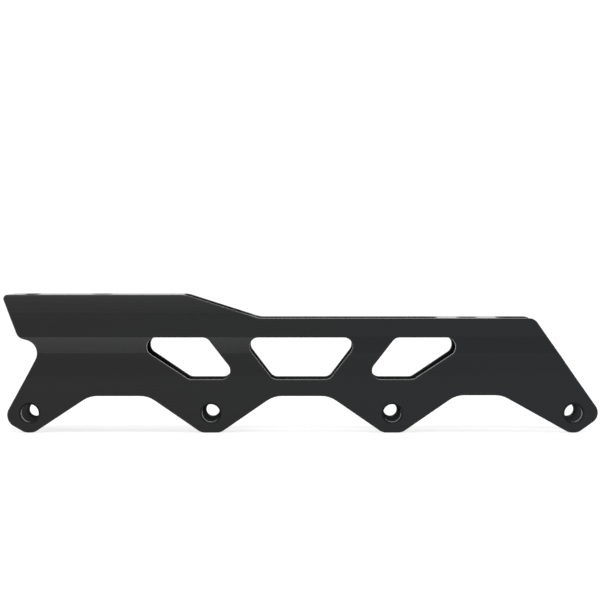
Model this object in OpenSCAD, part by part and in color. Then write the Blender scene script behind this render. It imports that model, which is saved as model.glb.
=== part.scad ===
// Bare inline skate frame for four wheels: one aluminium extrusion, milled to shape,
// with a bush pressed into each wall at every axle.
// Millimetres. X runs from heel to toe, Y across, Z up. The origin lies midway between
// the end axles, on the ground that the ears stand on.

/* [Axles] */
// Distance between neighbouring axles
axle_pitch = 81; // [80:0.5:82]
// Diameter of the plain axle holes, in the right wall
axle_d = 8; // [6:0.5:8]
// Core diameter of the threaded axle holes, in the left wall
thread_d = 6; // [5:0.1:7]
// Height of the axles above the bottom of the ears
axle_h = 8.7; // [8.2:0.1:9.2]

/* [Ears and arches] */
// Width of the flat under each of the two inner ears
inner_ear_flat = 8.6; // [7:0.2:10]
// Width of the flat under each of the two end ears
end_ear_flat = 4; // [3.5:0.1:5]
// Slope of the inner ears' flanks, in degrees
inner_flank = 34.5; // [33:0.1:36]
// Slope of the heel ear's flank towards the arch, in degrees
heel_flank = 33.4; // [32:0.1:35]
// Slope of the toe ear's flank towards the arch, in degrees
toe_flank = 29.1; // [28:0.1:31]
// Slope of the heel ear's outer flank, in degrees
heel_tip_flank = 29.4; // [28:0.1:32]
// Slope of the toe ear's outer flank, in degrees
toe_tip_flank = 35.4; // [34:0.1:37]
// Height of the rear and the middle arch above the axles
arch_rise = 7.65; // [7:0.05:9]
// Height of the front arch above the axles
front_arch_rise = 8; // [7:0.1:9]

/* [Heel and toe] */
// Height of the toe deck above the axles
toe_top = 42.5; // [42:0.1:44]
// Step from the toe deck up to the heel deck
heel_rise = 10.5; // [10.2:0.1:12]
// How far the heel deck reaches behind the rear axle
heel_reach = 12.2; // [11.6:0.1:13.2]
// Slope of the heel deck's rear edge, in degrees
heel_end_slope = 69.4; // [68:0.1:72]
// Height of the lip under the heel's end, above the axles
lip_h = 33.8; // [33:0.1:35]
// Slope of the lip's underside, down to the notch, in degrees
lip_slope = 16; // [10:0.5:20]
// Slope of the edge from the notch down to the heel ear, in degrees
rear_edge_slope = 61.3; // [60.5:0.1:62]
// Where the rear edge, drawn on, meets the axle line: distance behind the rear axle
rear_edge_reach = 10.4; // [9.6:0.1:10.8]
// Slope of the front edge, in degrees
front_edge_slope = 54.9; // [53:0.1:56]
// Where the front edge, drawn on, meets the axle line: distance ahead of the front axle
front_edge_reach = 12.2; // [11.8:0.1:13]
// Place of the top of the ramp, behind the middle
ramp_top = 51.9; // [50:0.1:52.4]
// Place of the foot of the ramp, behind the middle
ramp_foot = 19; // [15:0.1:24]

/* [Corner rounds] */
// Radius under the arches
arch_r = 11.5; // [7:0.5:13]
// Radius at the edges of the ears' flats
ear_r = 5.5; // [2:0.1:6.6]
// Radius of the toe ear's tip
toe_tip_r = 5.1; // [4:0.1:6]
// Radius of the heel ear's tip
heel_tip_r = 5.7; // [4.5:0.1:6.4]
// Radius of the notch under the heel
notch_r = 6; // [4:0.1:7]
// Radius of the front end of the toe deck
toe_r = 4.5; // [2:0.1:6]
// Radius of the heel deck's rear edge
heel_r = 1.8; // [1:0.1:3]
// Radius of the lip under the heel's end
lip_r = 4.1; // [2:0.1:5]
// Radius at the top and the foot of the ramp
ramp_r = 10; // [5:1:15]

/* [Side windows] */
// Place of the middle of the row of windows, ahead of the middle
window_mid = -0.2; // [-1:0.1:1]
// Radius of the windows' corners
window_r = 4; // [3:0.1:4.1]
// Height of the windows' top edge above the axles
window_top = 33.9; // [33.5:0.1:35]
// Height of the windows' bottom edge above the axles
window_bottom = 15.1; // [14:0.1:16]
// Slope of the struts between the windows, in degrees
strut_slope = 52.3; // [51:0.1:54]
// Width of a strut, measured along the frame
strut_w = 14.9; // [13:0.1:16]
// Width of the middle window's bottom edge
mid_window_w = 25.3; // [24:0.1:27]
// Distance from the middle to the far end of each outer window
outer_window_end = 68.9; // [67:0.1:71]
// Distance from the middle to where an outer window's slanted edge meets its bottom edge
outer_window_foot = 50.2; // [48:0.1:52]
// Height of the upright edge at the far end of each outer window
outer_window_side = 6.4; // [6.2:0.1:8]

/* [Cross-section] */
// Overall width, over the decks
deck_w = 39.2; // [38.6:0.1:41]
// Width over the ears
ear_w = 34; // [33.4:0.1:34.8]
// Thickness of the ears' walls
wall_t = 2.7; // [2.5:0.1:3]
// How far the walls draw in under the decks' edges, on each side
valley_in = 0.65; // [0.5:0.05:1]
// Height of that valley above the axles
valley_h = 34.8; // [34.4:0.1:36]
// How far the bulge under the valley stays inside the decks' edges, on each side
bulge_in = 0.5; // [0.3:0.05:0.6]
// Height of the bulge above the axles
bulge_h = 25.8; // [25:0.1:27]
// Height above the axles at which the walls have drawn in to the ears
flank_foot = 16.8; // [16:0.1:18]
// Width inside the walls at their widest
channel_w = 33; // [32:0.1:33.4]
// Height of that widest place above the axles
channel_h = 27.3; // [26.5:0.1:28.5]
// Thickness of the toe deck
toe_deck_t = 4.4; // [4:0.1:5]
// Thickness of the heel deck
heel_deck_t = 5; // [4:0.1:5]
// Width of the hollow under the heel deck
hollow_w = 34; // [33:0.1:34.4]

/* [Wheel openings] */
// Width of the openings for the wheels
wheel_gap = 28.8; // [28:0.1:29.2]
// Radius of the openings' corners
gap_r = 5.2; // [4:0.1:6]
// Rear end of the middle opening, behind the middle
middle_gap_rear = 52.9; // [52.5:0.1:54]
// Front end of the middle opening, ahead of the middle
middle_gap_front = 61.2; // [60:0.1:62]
// Rear end of the front opening, ahead of the middle
front_gap_rear = 88.1; // [87:0.1:90]
// Front end of the rear opening, behind the middle
rear_gap_front = 104; // [102:0.5:106]

/* [Mounting slots] */
// Distance between the heel slot and the toe slot
mount_pitch = 165; // [163:0.5:167]
// Place of the toe slot ahead of the middle
toe_slot = 74.8; // [74:0.1:75.6]
// Width of these two slots
slot_w = 9; // [8:0.1:10]
// Length of these two slots, across the frame
slot_l = 21.2; // [18:0.1:24]
// Place of the end slot behind the middle
end_slot = 122.1; // [121:0.1:123]
// Width of the end slot
end_slot_w = 6.7; // [6:0.1:8]
// Length of the end slot, across the frame
end_slot_l = 32.2; // [28:0.1:32.6]

/* [Axle bushes] */
// Outer diameter of the bush in the wall
bush_d = 9.6; // [9.4:0.1:10.4]
// Largest diameter of the bush's cone
cone_d = 15.4; // [14:0.1:15.7]
// Diameter of the bush's face against the wheel
face_d = 10; // [9.6:0.1:10.6]
// How far each bush stands out of its wall, towards the wheel
cone_h = 1.9; // [1.6:0.1:2.2]
// Width of the bush's upright rim, where its cone meets the wall
cone_rim = 0.3; // [0.2:0.1:0.6]
// Chamfer where an axle goes into a bush's hole, from the right
bush_lead = 0.5; // [0.2:0.1:0.6]
// Chamfer where the axle comes out of it
bush_break = 0.1; // [0.1:0.1:0.6]
// Clearance around the bush in its seat
seat_clearance = 0.02; // [0.01:0.01:0.05]

/* [Hidden] */
// Largest turn, in degrees, of one straight step along a rounded corner, and along the
// slow bends of the walls
arc_step = 9;
wall_step = 4;
// Overshoot of the cuts
over = 1;
// Light finishing cut that leaves the toe deck flat
skim = 0.3;
// Rounds inside the extrusion: in the hollow's floor and roof, and under the toe deck
floor_r = 3;
roof_r = 1.5;
deck_under_r = 2;
// Rounds along the walls: under the decks, in the valley, on the bulge and above the ears
deck_edge_r = 12;
valley_r = 16;
bulge_r = 10;
flank_r = 10;
// Width of the ledge that the wheel openings leave at each wall's top
ledge = 1;
// Radius of the opening's corners in the heel deck
heel_gap_r = 2.5;
$fn = 64;

heel_top = toe_top + heel_rise;
ear_bottom = -axle_h;
axle_x = [for (i = [0 : 3]) (i - 1.5) * axle_pitch];
rear_x = axle_x[0];
front_x = axle_x[3];
end_x = front_x + front_edge_reach + over;
ear_inside = ear_w / 2 - wall_t;
hub_gap = 2 * (ear_inside - cone_h);
deck_under = toe_top - toe_deck_t;
hollow_floor = toe_top + skim;
hollow_roof = heel_top - heel_deck_t;
hollow_mid = (hollow_floor + hollow_roof) / 2;

function unit(v) = v / norm(v);

// Points of the round that replaces corner p between its neighbours a and b, with radius r,
// in steps that turn by the given angle at most
function corner_arc(a, p, b, r, step) =
    let (
        u = unit(a - p),
        v = unit(b - p),
        half = acos(u * v) / 2,
        centre = p + unit(u + v) * r / sin(half),
        first = p + u * r / tan(half) - centre,
        start = atan2(first.y, first.x),
        turn = (u.x * v.y - u.y * v.x > 0 ? -1 : 1) * (180 - 2 * half),
        steps = ceil(abs(turn) / step)
    )
    [for (i = [0 : steps]) centre + r * [cos(start + turn * i / steps), sin(start + turn * i / steps)]];

// Outline through corners [x, y, radius], with every corner rounded
function rounded(corners, step = arc_step) =
    let (n = len(corners))
    [for (i = [0 : n - 1])
        let (
            a = corners[(i + n - 1) % n],
            p = corners[i],
            b = corners[(i + 1) % n]
        )
        each p.z == 0
            ? [[p.x, p.y]]
            : corner_arc([a.x, a.y], [p.x, p.y], [b.x, b.y], p.z, step)];

// A half profile given by corners on +X, closed by its mirror image
function both_halves(corners) =
    let (n = len(corners))
    concat(corners, [for (i = [n - 1 : -1 : 0]) [-corners[i].x, corners[i].y, corners[i].z]]);

// Where the line through p, rising at angle a, reaches height y
function at_height(p, a, y) = [p.x + (y - p.y) / tan(a), y];

// Where the line through p at angle a meets the line through q at angle b
function meeting(p, a, q, b) =
    let (t = ((q.x - p.x) * sin(b) - (q.y - p.y) * cos(b)) / sin(b - a))
    p + t * [cos(a), sin(a)];

// One ear: the arch corner ahead, the two corners of its flat and the arch corner behind,
// where the arches ahead of it and behind it have the given heights
function inner_ear(x, rise_ahead, rise_behind) =
    let (
        flat = inner_ear_flat / 2,
        ahead = at_height([x + flat, ear_bottom], inner_flank, rise_ahead),
        behind = at_height([x - flat, ear_bottom], 180 - inner_flank, rise_behind)
    )
    [
        [ahead.x, ahead.y, arch_r], [x + flat, ear_bottom, ear_r],
        [x - flat, ear_bottom, ear_r], [behind.x, behind.y, arch_r]
    ];

function toe_end() =
    let (
        edge = [front_x + front_edge_reach, 0],
        outer = [front_x + end_ear_flat / 2, ear_bottom],
        inner = [front_x - end_ear_flat / 2, ear_bottom],
        top = at_height(edge, 180 - front_edge_slope, toe_top),
        tip = meeting(edge, 180 - front_edge_slope, outer, toe_tip_flank),
        arch = at_height(inner, 180 - toe_flank, front_arch_rise)
    )
    [
        [top.x, top.y, toe_r], [tip.x, tip.y, toe_tip_r], [outer.x, outer.y, ear_r],
        [inner.x, inner.y, ear_r], [arch.x, arch.y, arch_r]
    ];

function heel_end() =
    let (
        edge = [rear_x - rear_edge_reach, 0],
        inner = [rear_x + end_ear_flat / 2, ear_bottom],
        outer = [rear_x - end_ear_flat / 2, ear_bottom],
        top = [rear_x - heel_reach, heel_top],
        arch = at_height(inner, heel_flank, arch_rise),
        tip = meeting(edge, rear_edge_slope, outer, 180 - heel_tip_flank),
        lip = at_height(top, 180 - heel_end_slope, lip_h),
        notch = meeting(lip, -lip_slope, edge, rear_edge_slope)
    )
    [
        [arch.x, arch.y, arch_r], [inner.x, inner.y, ear_r], [outer.x, outer.y, ear_r],
        [tip.x, tip.y, heel_tip_r], [notch.x, notch.y, notch_r],
        [lip.x, lip.y, lip_r], [top.x, top.y, heel_r]
    ];

// Side view of the frame, from the ramp along the toe, the ears and the heel
function side_outline() = rounded(concat(
    [[-ramp_top, heel_top, ramp_r], [-ramp_foot, toe_top, ramp_r]],
    toe_end(),
    inner_ear(axle_x[2], front_arch_rise, arch_rise),
    inner_ear(axle_x[1], arch_rise, arch_rise),
    heel_end()
));

// Windows, seen from the side
function mid_window() =
    let (foot = mid_window_w / 2, head = foot + (window_top - window_bottom) / tan(strut_slope))
    rounded(both_halves([[head, window_top, window_r], [foot, window_bottom, window_r]]));

function outer_window() =
    let (
        near_foot = mid_window_w / 2 + strut_w,
        near_head = near_foot + (window_top - window_bottom) / tan(strut_slope)
    )
    rounded([
        [near_head, window_top, window_r], [outer_window_end, window_top, window_r],
        [outer_window_end, window_top - outer_window_side, window_r],
        [outer_window_foot, window_bottom, window_r],
        [near_foot, window_bottom, window_r]
    ]);

// Cross-section of the extrusion: outer wall, wheel channel and the hollow under the heel deck
module section() {
    difference() {
        polygon(rounded(both_halves([
            [deck_w / 2, heel_top + over, 0], [deck_w / 2, toe_top, deck_edge_r],
            [deck_w / 2 - valley_in, valley_h, valley_r], [deck_w / 2 - bulge_in, bulge_h, bulge_r],
            [ear_w / 2, flank_foot, flank_r], [ear_w / 2, ear_bottom - over, 0]
        ]), wall_step));
        polygon(rounded(both_halves([
            [ear_inside, ear_bottom - 2 * over, 0], [ear_inside, flank_foot, flank_r],
            [channel_w / 2, channel_h, bulge_r], [wheel_gap / 2 - ledge, deck_under, deck_under_r]
        ])));
        polygon(rounded(both_halves([
            [hollow_w / 2, hollow_floor, floor_r], [hollow_w / 2, hollow_roof, roof_r]
        ])));
    }
}

// Cut through the walls, along Y
module across(points) {
    rotate([90, 0, 0])
        linear_extrude(height = deck_w + 2 * over, center = true)
            polygon(points);
}

// Rounded opening in plan between x0 and x1, from z0 up to z1
module plan_opening(x0, x1, width, r, z0, z1) {
    translate([0, 0, z0])
        linear_extrude(height = z1 - z0)
            polygon(rounded([
                [x0, -width / 2, r], [x1, -width / 2, r], [x1, width / 2, r], [x0, width / 2, r]
            ]));
}

// Opening for a wheel in the toe deck's level, from x0 to x1 and up to z1
module wheel_opening(x0, x1, z1) {
    plan_opening(x0, x1, wheel_gap, gap_r, deck_under - over, z1);
}

// Slot across the frame, from z0 up through the deck
module cross_slot(x, width, length, z0) {
    depth = heel_top + over - z0;
    translate([x, 0, z0]) {
        for (side = [-1, 1])
            translate([0, side * (length - width) / 2, 0])
                cylinder(d = width, h = depth);
        translate([-width / 2, -(length - width) / 2, 0])
            cube([width, length - width, depth]);
    }
}

module frame_body() {
    color([0.17, 0.17, 0.18])
        translate([0, 0, axle_h])
            difference() {
                intersection() {
                    rotate([90, 0, 90])
                        translate([0, 0, -end_x])
                            linear_extrude(height = 2 * end_x)
                                section();
                    across(side_outline());
                }
                translate([window_mid, 0, 0]) {
                    across(mid_window());
                    for (side = [0, 1])
                        mirror([side, 0, 0])
                            across(outer_window());
                }
                wheel_opening(-middle_gap_rear, middle_gap_front, heel_top + over);
                wheel_opening(front_gap_rear, 2 * end_x, heel_top + over);
                wheel_opening(-2 * end_x, -rear_gap_front, hollow_mid);
                plan_opening(-middle_gap_rear, 0, hollow_w, heel_gap_r, hollow_mid, heel_top + over);
                cross_slot(toe_slot, slot_w, slot_l, deck_under - over);
                cross_slot(toe_slot - mount_pitch, slot_w, slot_l, deck_under - over);
                cross_slot(-end_slot, end_slot_w, end_slot_l, hollow_mid);
                for (x = axle_x)
                    translate([x, 0, 0])
                        rotate([90, 0, 0])
                            cylinder(d = bush_d + 2 * seat_clearance, h = deck_w, center = true);
            }
}

// Bush for axle i in the wall on the given side: -1 is the right wall, with a plain hole,
// and 1 the left wall, whose hole takes the axle's thread
module axle_bush(side, i) {
    bore = (side < 0 ? axle_d : thread_d) / 2;
    inner_break = side < 0 ? bush_break : bush_lead;
    outer_break = side < 0 ? bush_lead : bush_break;
    face = hub_gap / 2;
    outside = ear_w / 2;
    color([0.2, 0.2, 0.21])
        translate([axle_x[i], 0, axle_h])
            rotate([-90 * side, 0, 0])
                rotate_extrude()
                    polygon([
                        [bore, face + inner_break], [bore + inner_break, face],
                        [face_d / 2, face], [cone_d / 2, ear_inside - cone_rim],
                        [cone_d / 2, ear_inside], [bush_d / 2, ear_inside],
                        [bush_d / 2, outside], [bore + outer_break, outside],
                        [bore, outside - outer_break]
                    ]);
}

frame_body();
axle_bush(-1, 0);  // right_axle_bush_1
axle_bush(-1, 1);  // right_axle_bush_2
axle_bush(-1, 2);  // right_axle_bush_3
axle_bush(-1, 3);  // right_axle_bush_4
axle_bush(1, 0);  // left_axle_bush_1
axle_bush(1, 1);  // left_axle_bush_2
axle_bush(1, 2);  // left_axle_bush_3
axle_bush(1, 3);  // left_axle_bush_4
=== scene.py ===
import math

import bpy
import numpy as np
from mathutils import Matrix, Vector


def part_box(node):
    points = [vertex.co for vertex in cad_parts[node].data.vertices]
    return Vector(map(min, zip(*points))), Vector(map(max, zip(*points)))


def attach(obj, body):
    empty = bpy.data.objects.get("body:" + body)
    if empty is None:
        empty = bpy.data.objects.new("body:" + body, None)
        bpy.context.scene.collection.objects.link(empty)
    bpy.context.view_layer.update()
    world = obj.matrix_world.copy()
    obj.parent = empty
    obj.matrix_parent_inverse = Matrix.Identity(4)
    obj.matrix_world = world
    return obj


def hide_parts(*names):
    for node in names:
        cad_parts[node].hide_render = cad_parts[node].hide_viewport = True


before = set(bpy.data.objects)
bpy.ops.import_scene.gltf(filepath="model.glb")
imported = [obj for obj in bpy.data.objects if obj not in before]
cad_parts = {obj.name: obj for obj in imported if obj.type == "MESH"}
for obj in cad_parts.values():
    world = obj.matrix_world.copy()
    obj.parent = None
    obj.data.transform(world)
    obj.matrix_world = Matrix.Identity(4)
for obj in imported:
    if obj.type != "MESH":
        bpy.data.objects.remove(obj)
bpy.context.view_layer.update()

MM = 0.001
scene = bpy.context.scene
scene.view_settings.view_transform = "Standard"

# Frame body: one aluminium extrusion, cut to length and milled to its outline, its
# truss windows, wheel openings and slots. Its edges are broken with a small chamfer,
# and the whole piece is etched satin and anodised black.
EDGE_CHAMFER = 0.4 * MM
EDGE_ANGLE = math.radians(30)
SEAT_CHAMFER = 0.04 * MM
SEAT_REACH = 5.4 * MM
AXLE_PITCH = 81 * MM
bush_low, bush_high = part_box("right_axle_bush_1")
AXLE_HEIGHT = (bush_low.z + bush_high.z) / 2
FLAT_ANGLE = math.radians(0.4)
WELD_DISTANCE = 0.002 * MM
CUT_SHARE = 0.5
CUT_SLOT, INSIDE_SLOT, CHAMFER_SLOT = 1, 2, 3
HEEL_BLACK = (0.0062, 0.0061, 0.0060, 1)
TOE_BLACK = (0.0052, 0.0070, 0.0083, 1)
# Faces inside the channel: a darker black than the outside, painted shade for the light that
# doesn't reach in there.
INSIDE_PAINTED_SHADE = (0.003, 0.0031, 0.0033, 1)
# Chamfers: a lighter black than the faces, a painted highlight along the edges on top of their real
# gloss.
CHAMFER_PAINTED_HIGHLIGHT = (0.012, 0.0122, 0.0128, 1)
DYE_PATCHES = {"Scale": 26, "Detail": 3, "Roughness": 0.55}
DYE_DRIFT = {"From Min": -0.11, "From Max": 0.11, "To Min": -0.3, "To Max": 0.7}
PATCH_SHARE = 0.6
ETCHED_GRAIN = {"Scale": 2600, "Detail": 2, "Roughness": 0.6}
GRAIN_SHARE = 0.35
LINE_NOISE = {"Scale": 1, "Detail": 3, "Roughness": 0.6}
LINE_SHADE = {"From Min": 0.25, "From Max": 0.75, "To Min": 0.93, "To Max": 1.07}
LINE_BLUR = {"From Min": 0.3, "From Max": 0.7}
DRAW_LINES_PER_METRE = (4, 1500, 1500)
MILL_LINES_PER_METRE = (900, 12, 900)


def add_node(tree, kind, inputs=None, **settings):
    """One node of a tree, with its settings and the plain values of its inputs."""
    node = tree.nodes.new(kind)
    for name, value in settings.items():
        setattr(node, name, value)
    for socket, value in (inputs or {}).items():
        node.inputs[socket].default_value = value
    return node


def anodised_film():
    """Group for etched and dyed aluminium: a hue that drifts along X with slow patches in it,
    fine etched grain, and draw or tool lines, which are noise over the vector Lines."""
    group = bpy.data.node_groups.new("anodised_film", "ShaderNodeTree")
    sockets = group.interface
    for name, kind, value in [
        ("Place", "NodeSocketVector", (0, 0, 0)),
        ("Lines", "NodeSocketVector", (0, 0, 0)),
        ("First hue", "NodeSocketColor", HEEL_BLACK),
        ("Second hue", "NodeSocketColor", TOE_BLACK),
        ("Smoothest", "NodeSocketFloat", 0.2),
        ("Roughest", "NodeSocketFloat", 0.3),
    ]:
        sockets.new_socket(name, in_out="INPUT", socket_type=kind).default_value = value
    sockets.new_socket("Colour", in_out="OUTPUT", socket_type="NodeSocketColor")
    sockets.new_socket("Roughness", in_out="OUTPUT", socket_type="NodeSocketFloat")
    sockets.new_socket("Height", in_out="OUTPUT", socket_type="NodeSocketFloat")
    given = add_node(group, "NodeGroupInput")
    result = add_node(group, "NodeGroupOutput")
    patches = add_node(group, "ShaderNodeTexNoise", DYE_PATCHES)
    grain = add_node(group, "ShaderNodeTexNoise", ETCHED_GRAIN)
    lines = add_node(group, "ShaderNodeTexNoise", LINE_NOISE)
    split = add_node(group, "ShaderNodeSeparateXYZ")
    drift = add_node(group, "ShaderNodeMapRange", DYE_DRIFT)
    dye = add_node(
        group, "ShaderNodeMath", {1: PATCH_SHARE}, operation="MULTIPLY_ADD", use_clamp=True,
    )
    hue = add_node(group, "ShaderNodeMix", data_type="RGBA")
    shade = add_node(group, "ShaderNodeMapRange", LINE_SHADE)
    tinted = add_node(group, "ShaderNodeVectorMath", operation="SCALE")
    blur = add_node(group, "ShaderNodeMapRange", LINE_BLUR)
    lift = add_node(group, "ShaderNodeMath", {1: GRAIN_SHARE}, operation="MULTIPLY_ADD")
    join = group.links.new
    join(given.outputs["Place"], patches.inputs["Vector"])
    join(given.outputs["Place"], grain.inputs["Vector"])
    join(given.outputs["Lines"], lines.inputs["Vector"])
    join(given.outputs["Place"], split.inputs[0])
    join(split.outputs["X"], drift.inputs["Value"])
    join(patches.outputs["Fac"], dye.inputs[0])
    join(drift.outputs["Result"], dye.inputs[2])
    join(dye.outputs["Value"], hue.inputs["Factor"])
    join(given.outputs["First hue"], hue.inputs["A"])
    join(given.outputs["Second hue"], hue.inputs["B"])
    join(lines.outputs["Fac"], shade.inputs["Value"])
    join(hue.outputs["Result"], tinted.inputs["Vector"])
    join(shade.outputs["Result"], tinted.inputs["Scale"])
    join(lines.outputs["Fac"], blur.inputs["Value"])
    join(given.outputs["Smoothest"], blur.inputs["To Min"])
    join(given.outputs["Roughest"], blur.inputs["To Max"])
    join(grain.outputs["Fac"], lift.inputs[0])
    join(lines.outputs["Fac"], lift.inputs[2])
    join(tinted.outputs["Vector"], result.inputs["Colour"])
    join(blur.outputs["Result"], result.inputs["Roughness"])
    join(lift.outputs["Value"], result.inputs["Height"])
    return group


ANODISED_FILM = anodised_film()


def anodised_metal(name, lines, hues, roughness, relief, specular):
    """Black anodised material: the film's colour, gloss and relief on one Principled shader.
    lines(tree, place) gives the vector across which the draw or tool lines change."""
    metal = bpy.data.materials.new(name)
    metal.use_nodes = True
    tree = metal.node_tree
    shader = tree.nodes["Principled BSDF"]
    shader.inputs["Specular IOR Level"].default_value = specular
    place = add_node(tree, "ShaderNodeTexCoord").outputs["Object"]
    film = add_node(tree, "ShaderNodeGroup", node_tree=ANODISED_FILM)
    film.inputs["First hue"].default_value, film.inputs["Second hue"].default_value = hues
    film.inputs["Smoothest"].default_value, film.inputs["Roughest"].default_value = roughness
    bump = add_node(tree, "ShaderNodeBump", {"Strength": 1, "Distance": relief})
    join = tree.links.new
    join(place, film.inputs["Place"])
    join(lines(tree, place), film.inputs["Lines"])
    join(film.outputs["Colour"], shader.inputs["Base Color"])
    join(film.outputs["Roughness"], shader.inputs["Roughness"])
    join(film.outputs["Height"], bump.inputs["Height"])
    join(bump.outputs["Normal"], shader.inputs["Normal"])
    return metal


def lines_across(per_metre):
    """A function of a tree and a place that multiplies the place by the lines per metre of each
    axis, so that a line is long along the axis with few."""
    def lines(tree, place):
        across = add_node(tree, "ShaderNodeVectorMath", {1: per_metre}, operation="MULTIPLY")
        tree.links.new(place, across.inputs[0])
        return across.outputs["Vector"]
    return lines


def modifier_nodes(name):
    """An empty group of modifier nodes, the skin that it is given, and the socket of its result."""
    group = bpy.data.node_groups.new(name, "GeometryNodeTree")
    for socket, way in (("Given", "INPUT"), ("Result", "OUTPUT")):
        group.interface.new_socket(socket, in_out=way, socket_type="NodeSocketGeometry")
    given = add_node(group, "NodeGroupInput").outputs[0]
    return group, given, add_node(group, "NodeGroupOutput").inputs[0]


def joined_facets():
    """Modifier nodes that join a solid's loose facets into one skin with smooth shading."""
    group, given, result = modifier_nodes("joined_facets")
    merge = add_node(group, "GeometryNodeMergeByDistance", {"Distance": WELD_DISTANCE})
    clear = add_node(group, "GeometryNodeRemoveAttribute", {"Name": "custom_normal"})
    smooth = add_node(group, "GeometryNodeSetShadeSmooth")
    join = group.links.new
    join(given, merge.inputs["Geometry"])
    join(merge.outputs["Geometry"], clear.inputs["Geometry"])
    join(clear.outputs["Geometry"], smooth.inputs[0])
    join(smooth.outputs[0], result)
    return group


def face_slot(group, skin, chosen, slot):
    """The skin with the material slot given to its chosen faces."""
    assign = add_node(group, "GeometryNodeSetMaterialIndex", {"Material Index": slot})
    group.links.new(skin, assign.inputs["Geometry"])
    group.links.new(chosen, assign.inputs["Selection"])
    return assign.outputs[0]


def cut_and_inside_faces():
    """Modifier nodes that give INSIDE_SLOT, whose darker black is painted shade, to each face whose
    normal points to the middle plane, and then CUT_SLOT to each face whose normal has a Y share
    under CUT_SHARE, cut by the mill."""
    group, given, result = modifier_nodes("cut_and_inside_faces")
    facing = add_node(group, "ShaderNodeSeparateXYZ")
    place = add_node(group, "ShaderNodeSeparateXYZ")
    outwards = add_node(group, "ShaderNodeMath", operation="MULTIPLY")
    inside = add_node(group, "ShaderNodeMath", {1: 0}, operation="LESS_THAN")
    share = add_node(group, "ShaderNodeMath", operation="ABSOLUTE")
    cut = add_node(group, "ShaderNodeMath", {1: CUT_SHARE}, operation="LESS_THAN")
    join = group.links.new
    join(add_node(group, "GeometryNodeInputNormal").outputs["Normal"], facing.inputs[0])
    join(add_node(group, "GeometryNodeInputPosition").outputs[0], place.inputs[0])
    join(facing.outputs["Y"], outwards.inputs[0])
    join(place.outputs["Y"], outwards.inputs[1])
    join(outwards.outputs[0], inside.inputs[0])
    join(facing.outputs["Y"], share.inputs[0])
    join(share.outputs[0], cut.inputs[0])
    skin = face_slot(group, given, inside.outputs[0], INSIDE_SLOT)
    join(face_slot(group, skin, cut.outputs[0], CUT_SLOT), result)
    return group


def axle_distance(tree, place):
    """The distance from the nearest axle: X is wrapped to one axle pitch, and the radius is the
    length of what is left with the height above the axles."""
    half_pitch = AXLE_PITCH / 2
    split = add_node(tree, "ShaderNodeSeparateXYZ")
    from_axle = add_node(tree, "ShaderNodeMath", {1: half_pitch}, operation="SUBTRACT")
    nearest = add_node(
        tree, "ShaderNodeMath", {1: half_pitch, 2: -half_pitch}, operation="WRAP",
    )
    height = add_node(tree, "ShaderNodeMath", {1: AXLE_HEIGHT}, operation="SUBTRACT")
    flat = add_node(tree, "ShaderNodeCombineXYZ")
    radius = add_node(tree, "ShaderNodeVectorMath", operation="LENGTH")
    join = tree.links.new
    join(place, split.inputs[0])
    join(split.outputs["X"], from_axle.inputs[0])
    join(from_axle.outputs["Value"], nearest.inputs[0])
    join(split.outputs["Z"], height.inputs[0])
    join(nearest.outputs["Value"], flat.inputs["X"])
    join(height.outputs["Value"], flat.inputs["Z"])
    join(flat.outputs["Vector"], radius.inputs[0])
    return radius.outputs["Value"]


def edge_shares():
    """Modifier nodes that store each edge's share of the chamfer: all of it on an edge sharper
    than EDGE_ANGLE, a little of it there if an axle is nearer than SEAT_REACH, else none."""
    group, given, result = modifier_nodes("edge_shares")
    place = add_node(group, "GeometryNodeInputPosition").outputs[0]
    angle = add_node(group, "GeometryNodeInputMeshEdgeAngle").outputs["Unsigned Angle"]
    seat_share = SEAT_CHAMFER / EDGE_CHAMFER
    away = add_node(group, "ShaderNodeMath", {1: SEAT_REACH}, operation="GREATER_THAN")
    share = add_node(group, "ShaderNodeMapRange", {"To Min": seat_share, "To Max": 1})
    sharp = add_node(group, "ShaderNodeMath", {1: EDGE_ANGLE}, operation="GREATER_THAN")
    weight = add_node(group, "ShaderNodeMath", operation="MULTIPLY")
    store = add_node(
        group, "GeometryNodeStoreNamedAttribute", {"Name": "bevel_weight_edge"},
        data_type="FLOAT", domain="EDGE",
    )
    join = group.links.new
    join(axle_distance(group, place), away.inputs[0])
    join(away.outputs[0], share.inputs["Value"])
    join(angle, sharp.inputs[0])
    join(sharp.outputs[0], weight.inputs[0])
    join(share.outputs["Result"], weight.inputs[1])
    join(given, store.inputs["Geometry"])
    join(weight.outputs[0], store.inputs["Value"])
    join(store.outputs[0], result)
    return group


JOINED_FACETS = joined_facets()
EDGE_SHARES = edge_shares()


def break_edges(part, width, chamfer_slot):
    """Joins the solid's facets, dissolves the flat ones, and chamfers each edge by its share of
    the width."""
    part.modifiers.new("joined", "NODES").node_group = JOINED_FACETS
    flat = part.modifiers.new("flat", "DECIMATE")
    flat.decimate_type = "DISSOLVE"
    flat.angle_limit = FLAT_ANGLE
    part.modifiers.new("marked", "NODES").node_group = EDGE_SHARES
    edge = part.modifiers.new("edge", "BEVEL")
    edge.width = width
    edge.segments = 1
    edge.limit_method = "WEIGHT"
    edge.use_clamp_overlap = False
    edge.material = chamfer_slot
    edge.face_strength_mode = "FSTR_AFFECTED"
    part.modifiers.new("shading", "WEIGHTED_NORMAL").use_face_influence = True


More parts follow.
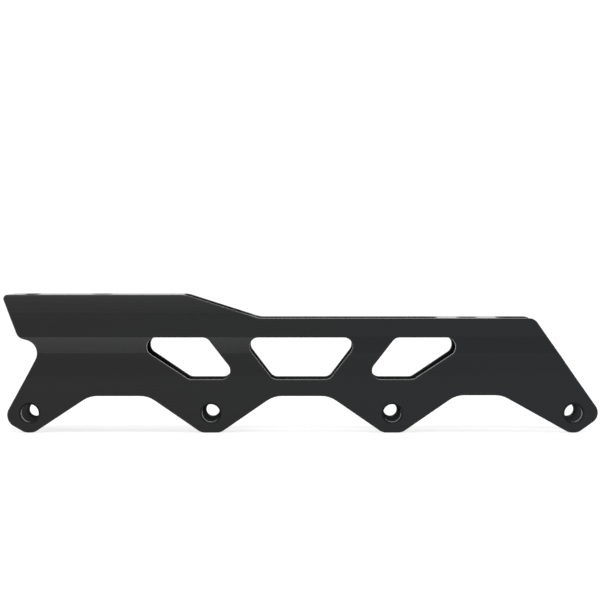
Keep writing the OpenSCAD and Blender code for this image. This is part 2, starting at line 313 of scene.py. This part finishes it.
draw_lines = lines_across(DRAW_LINES_PER_METRE)
mill_lines = lines_across(MILL_LINES_PER_METRE)
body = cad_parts["frame_body"]
body.data.materials.clear()
for metal in [
    anodised_metal(
        "drawn_black", draw_lines, (HEEL_BLACK, TOE_BLACK),
        roughness=(0.08, 0.11), relief=0.0006 * MM, specular=0.23,
    ),
    anodised_metal(
        "milled_black", mill_lines, (HEEL_BLACK, TOE_BLACK),
        roughness=(0.17, 0.2), relief=0.0005 * MM, specular=0.24,
    ),
    # Painted shade: the inside faces get a darker, duller black than the same anodised metal
    # outside.
    anodised_metal(
        "inside_painted_shade", draw_lines, (INSIDE_PAINTED_SHADE, INSIDE_PAINTED_SHADE),
        roughness=(0.4, 0.52), relief=0.002 * MM, specular=0.08,
    ),
    # Painted highlight: the chamfer faces get a lighter black, so that the edges read as bright
    # lines.
    anodised_metal(
        "chamfer_painted_highlight", mill_lines, (CHAMFER_PAINTED_HIGHLIGHT, CHAMFER_PAINTED_HIGHLIGHT),
        roughness=(0.24, 0.27), relief=0.0002 * MM, specular=0.3,
    ),
]:
    body.data.materials.append(metal)
body.modifiers.new("faces", "NODES").node_group = cut_and_inside_faces()
break_edges(body, EDGE_CHAMFER, CHAMFER_SLOT)

# Right axle bushes: four turned aluminium bushes, each pressed into its ear from the wheel's side
# up to its cone. Tool rings from the lathe show on the cone and the face, under black anodising.
BUSH_CHAMFER = 0.1 * MM
BORE_REACH = 4.08 * MM
TURNED_SLOT, BORE_SLOT = 0, 1
BUSH_BLACK = (0.004, 0.0042, 0.0046, 1)
RINGS_PER_METRE = 5200


def lathe_rings(tree, place):
    """Rings change with the distance from the nearest axle and with the depth along it, and not
    around it."""
    split = add_node(tree, "ShaderNodeSeparateXYZ")
    ring = add_node(tree, "ShaderNodeCombineXYZ")
    scaled = add_node(tree, "ShaderNodeVectorMath", {"Scale": RINGS_PER_METRE}, operation="SCALE")
    join = tree.links.new
    join(place, split.inputs[0])
    join(axle_distance(tree, place), ring.inputs["X"])
    join(split.outputs["Y"], ring.inputs["Y"])
    join(ring.outputs["Vector"], scaled.inputs[0])
    return scaled.outputs["Vector"]


def bore_faces():
    """Modifier nodes that give BORE_SLOT to each face nearer to its axle than BORE_REACH."""
    group, given, result = modifier_nodes("bore_faces")
    place = add_node(group, "GeometryNodeInputPosition").outputs[0]
    near = add_node(group, "ShaderNodeMath", {1: BORE_REACH}, operation="LESS_THAN")
    group.links.new(axle_distance(group, place), near.inputs[0])
    group.links.new(face_slot(group, given, near.outputs[0], BORE_SLOT), result)
    return group


BORE_FACES = bore_faces()
bush_black = anodised_metal(
    "bush_black", lathe_rings, (BUSH_BLACK, TOE_BLACK),
    roughness=(0.14, 0.2), relief=0.002 * MM, specular=0.12,
)
bore_black = anodised_metal(
    "bore_black", lathe_rings, (BUSH_BLACK, TOE_BLACK),
    roughness=(0.24, 0.32), relief=0.003 * MM, specular=0.2,
)
for name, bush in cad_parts.items():
    if name.startswith("right_axle_bush"):
        bush.data.materials.clear()
        bush.data.materials.append(bush_black)
        bush.data.materials.append(bore_black)
        bush.modifiers.new("faces", "NODES").node_group = BORE_FACES
        break_edges(bush, BUSH_CHAMFER, TURNED_SLOT)

# Left axle bushes: turned and pressed in like the right ones, but their holes carry the thread
# that the axle's end screws into. Each is one turned profile whose bore follows the thread's helix.
AXLE_COUNT = 4
LEFT_FACE = 12.4 * MM
LEFT_SHOULDER = 14.3 * MM
LEFT_END = 17.0 * MM
LEFT_RIM = 0.3 * MM
FACE_RADIUS = 5.0 * MM
CONE_RADIUS = 7.7 * MM
WALL_RADIUS = 4.8 * MM
CORE_RADIUS = 3.0 * MM
THREAD_DEPTH = 0.5 * MM
THREAD_PITCH = 1.0 * MM
ROOT_SHARE = 0.3
CREST_SHARE = 0.2
LEAD_IN = 0.5 * MM
LEAD_OUT = 0.1 * MM
TURNED_EDGE = 0.05 * MM
STEPS_AROUND = 128
STEPS_ALONG = 84


def eased(corners, cut):
    """The closed profile through the corners, with each one cut off at the given distance along
    both its sides."""
    sides = [np.roll(corners, shift, axis=0) - corners for shift in (1, -1)]
    ends = [corners + cut * side / np.linalg.norm(side, axis=1, keepdims=True) for side in sides]
    return np.stack(ends, axis=1).reshape(-1, 2)


def threaded_bush(x):
    """The turned outside of a bush, and a bore whose radius is the core's plus the depth of a
    trapezoid wave of the height less the turn's share of the pitch, or a lead's cone if wider.
    The wave is full over ROOT_SHARE of the pitch and none over CREST_SHARE of it."""
    turn = np.linspace(0, 2 * np.pi, STEPS_AROUND, endpoint=False)
    outside = eased(np.array([
        [CORE_RADIUS + LEAD_IN, LEFT_FACE],
        [FACE_RADIUS, LEFT_FACE],
        [CONE_RADIUS, LEFT_SHOULDER - LEFT_RIM],
        [CONE_RADIUS, LEFT_SHOULDER],
        [WALL_RADIUS, LEFT_SHOULDER],
        [WALL_RADIUS, LEFT_END],
        [CORE_RADIUS + LEAD_OUT, LEFT_END],
    ]), TURNED_EDGE)[1:-1]
    depth = np.linspace(LEFT_END, LEFT_FACE, STEPS_ALONG)[:, None]
    wave = (depth / THREAD_PITCH - turn / (2 * np.pi)) % 1
    flank = (1 - ROOT_SHARE - CREST_SHARE) / 2
    fullness = np.clip(((1 - CREST_SHARE) / 2 - np.abs(wave - 0.5)) / flank, 0, 1)
    lead_in = CORE_RADIUS + LEAD_IN - (depth - LEFT_FACE)
    lead_out = CORE_RADIUS + LEAD_OUT - (LEFT_END - depth)
    bore = np.maximum(CORE_RADIUS + THREAD_DEPTH * fullness, np.maximum(lead_in, lead_out))
    radius = np.concatenate([np.repeat(outside[:, :1], STEPS_AROUND, axis=1), bore])
    height = np.broadcast_to(np.concatenate([outside[:, 1:], depth]), radius.shape)
    points = np.stack([
        x + radius * np.cos(turn), height, AXLE_HEIGHT + radius * np.sin(turn),
    ], -1)
    index = np.arange(radius.size).reshape(radius.shape)
    ahead = np.roll(index, -1, axis=1)
    faces = np.stack([
        index, np.roll(index, -1, axis=0), np.roll(ahead, -1, axis=0), ahead,
    ], -1)
    return points.reshape(-1, 3), faces.reshape(-1, 4)


def surface_object(name, surface, material):
    """A smooth mesh object at the origin, from a surface's points and faces."""
    points, faces = surface
    mesh = bpy.data.meshes.new(name)
    mesh.from_pydata(points.tolist(), [], faces.tolist())
    mesh.shade_smooth()
    mesh.materials.append(material)
    part = bpy.data.objects.new(name, mesh)
    scene.collection.objects.link(part)
    return part


for number in range(AXLE_COUNT):
    axle_x = (number - (AXLE_COUNT - 1) / 2) * AXLE_PITCH
    bush = surface_object(f"threaded_bush_{number + 1}", threaded_bush(axle_x), bore_black)
    bush.data.set_sharp_from_angle(angle=EDGE_ANGLE)
    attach(bush, "root")
    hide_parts(f"left_axle_bush_{number + 1}")

# Studio: a white sweep of paper, flat under the frame and curved up behind it, in a white room.
# A long soft lamp hangs overhead, on the camera's side of the frame, and a large one stands
# behind the camera, to its left.
SWEEP_HALF_WIDTH = 4.0
SWEEP_FRONT = -0.9
SWEEP_BEND = 2.4
SWEEP_RADIUS = 1.0
SWEEP_TOP = 3.0
SWEEP_ROWS = 16
PAPER_FIBRE = {"Scale": 60, "Detail": 2}
PAPER_TONES = {"To Min": 0.39, "To Max": 0.41}
PAPER_GLOW = 0.69
OVERHEAD_PLACE = (0, -0.4, 1.4)
OVERHEAD_AIM = (0, 0, 0)
OVERHEAD_SIZE = (1.3, 0.3)
OVERHEAD_WATTS = 6
LEFT_PLACE = (-0.815, -1.9, 0.645)
LEFT_AIM = (-0.815, 0, 0.645)
LEFT_SIZE = (1.57, 1.2)
LEFT_WATTS = 17.5
ROOM_WHITE = (1, 1, 1, 1)


def paper_sweep():
    """A profile carried straight along X: flat floor, quarter circle of SWEEP_RADIUS, upright
    back, with SWEEP_ROWS rows in each."""
    flat = np.linspace(SWEEP_FRONT, SWEEP_BEND, SWEEP_ROWS)
    turn = np.linspace(0, np.pi / 2, SWEEP_ROWS)[1:]
    rise = np.linspace(SWEEP_RADIUS, SWEEP_TOP, SWEEP_ROWS)[1:]
    back = np.full_like(rise, SWEEP_BEND + SWEEP_RADIUS)
    y = np.concatenate([flat, SWEEP_BEND + SWEEP_RADIUS * np.sin(turn), back])
    z = np.concatenate([np.zeros_like(flat), SWEEP_RADIUS * (1 - np.cos(turn)), rise])
    x = np.array([-SWEEP_HALF_WIDTH, SWEEP_HALF_WIDTH])
    points = np.stack(np.broadcast_arrays(x, y[:, None], z[:, None]), -1)
    first = 2 * np.arange(len(y) - 1)
    faces = np.stack([first, first + 1, first + 3, first + 2], -1)
    return points.reshape(-1, 3), faces


paper_white = bpy.data.materials.new("paper_white")
paper_white.use_nodes = True
tree = paper_white.node_tree
tree.nodes.remove(tree.nodes["Principled BSDF"])
fibre = add_node(tree, "ShaderNodeTexNoise", PAPER_FIBRE)
fibre_tone = add_node(tree, "ShaderNodeMapRange", PAPER_TONES)
matt = add_node(tree, "ShaderNodeBsdfDiffuse")
ray = add_node(tree, "ShaderNodeLightPath")
seen = add_node(tree, "ShaderNodeMath", operation="MAXIMUM")
seen_through = add_node(tree, "ShaderNodeMath", operation="MAXIMUM")
strength = add_node(tree, "ShaderNodeMath", {1: PAPER_GLOW}, operation="MULTIPLY")
glow = add_node(tree, "ShaderNodeEmission")
both = add_node(tree, "ShaderNodeAddShader")
join = tree.links.new
join(add_node(tree, "ShaderNodeTexCoord").outputs["Object"], fibre.inputs["Vector"])
join(fibre.outputs["Fac"], fibre_tone.inputs["Value"])
join(fibre_tone.outputs["Result"], matt.inputs["Color"])
join(ray.outputs["Is Camera Ray"], seen.inputs[0])
join(ray.outputs["Is Glossy Ray"], seen.inputs[1])
join(seen.outputs["Value"], seen_through.inputs[0])
join(ray.outputs["Is Transmission Ray"], seen_through.inputs[1])
join(seen_through.outputs["Value"], strength.inputs[0])
join(strength.outputs["Value"], glow.inputs["Strength"])
join(matt.outputs["BSDF"], both.inputs[0])
join(glow.outputs["Emission"], both.inputs[1])
join(both.outputs["Shader"], tree.nodes["Material Output"].inputs["Surface"])
paper = surface_object("paper_sweep", paper_sweep(), paper_white)


def soft_lamp(name, place, aim, size, watts):
    """A rectangular soft lamp at place, facing the point aim."""
    lamp = bpy.data.lights.new(name, "AREA")
    lamp.shape = "RECTANGLE"
    lamp.size, lamp.size_y = size
    lamp.energy = watts
    holder = bpy.data.objects.new(name, lamp)
    across, ahead, up = np.subtract(aim, place)
    tilt = math.atan2(math.hypot(across, ahead), -up)
    holder.location = place
    holder.rotation_euler = (tilt, 0, math.atan2(-across, ahead))
    holder.visible_camera = False
    scene.collection.objects.link(holder)


soft_lamp("overhead_lamp", OVERHEAD_PLACE, OVERHEAD_AIM, OVERHEAD_SIZE, OVERHEAD_WATTS)
soft_lamp("left_lamp", LEFT_PLACE, LEFT_AIM, LEFT_SIZE, LEFT_WATTS)

room = bpy.data.worlds.new("white_room")
room.use_nodes = True
room.node_tree.nodes["Background"].inputs["Color"].default_value = ROOM_WHITE
scene.world = room

# Camera: a long lens, square to the right wall, a little above the decks and tilted slightly
# down, so that the decks and their slots just show.
CAMERA_PLACE = (-0.0007, -1.2686, 0.0829)
CAMERA_TILT = math.radians(1.08)
FOCAL_PIXELS = 2805.0
IMAGE_PIXELS = 600
SENSOR_WIDTH = 36
VIEW_DEPTH = 50
lens = bpy.data.cameras.new("side_camera")
lens.sensor_width = SENSOR_WIDTH
lens.lens = FOCAL_PIXELS * SENSOR_WIDTH / IMAGE_PIXELS
lens.clip_end = VIEW_DEPTH
camera = bpy.data.objects.new("side_camera", lens)
camera.location = CAMERA_PLACE
camera.rotation_euler = (math.pi / 2 - CAMERA_TILT, 0, 0)
scene.collection.objects.link(camera)
scene.camera = camera
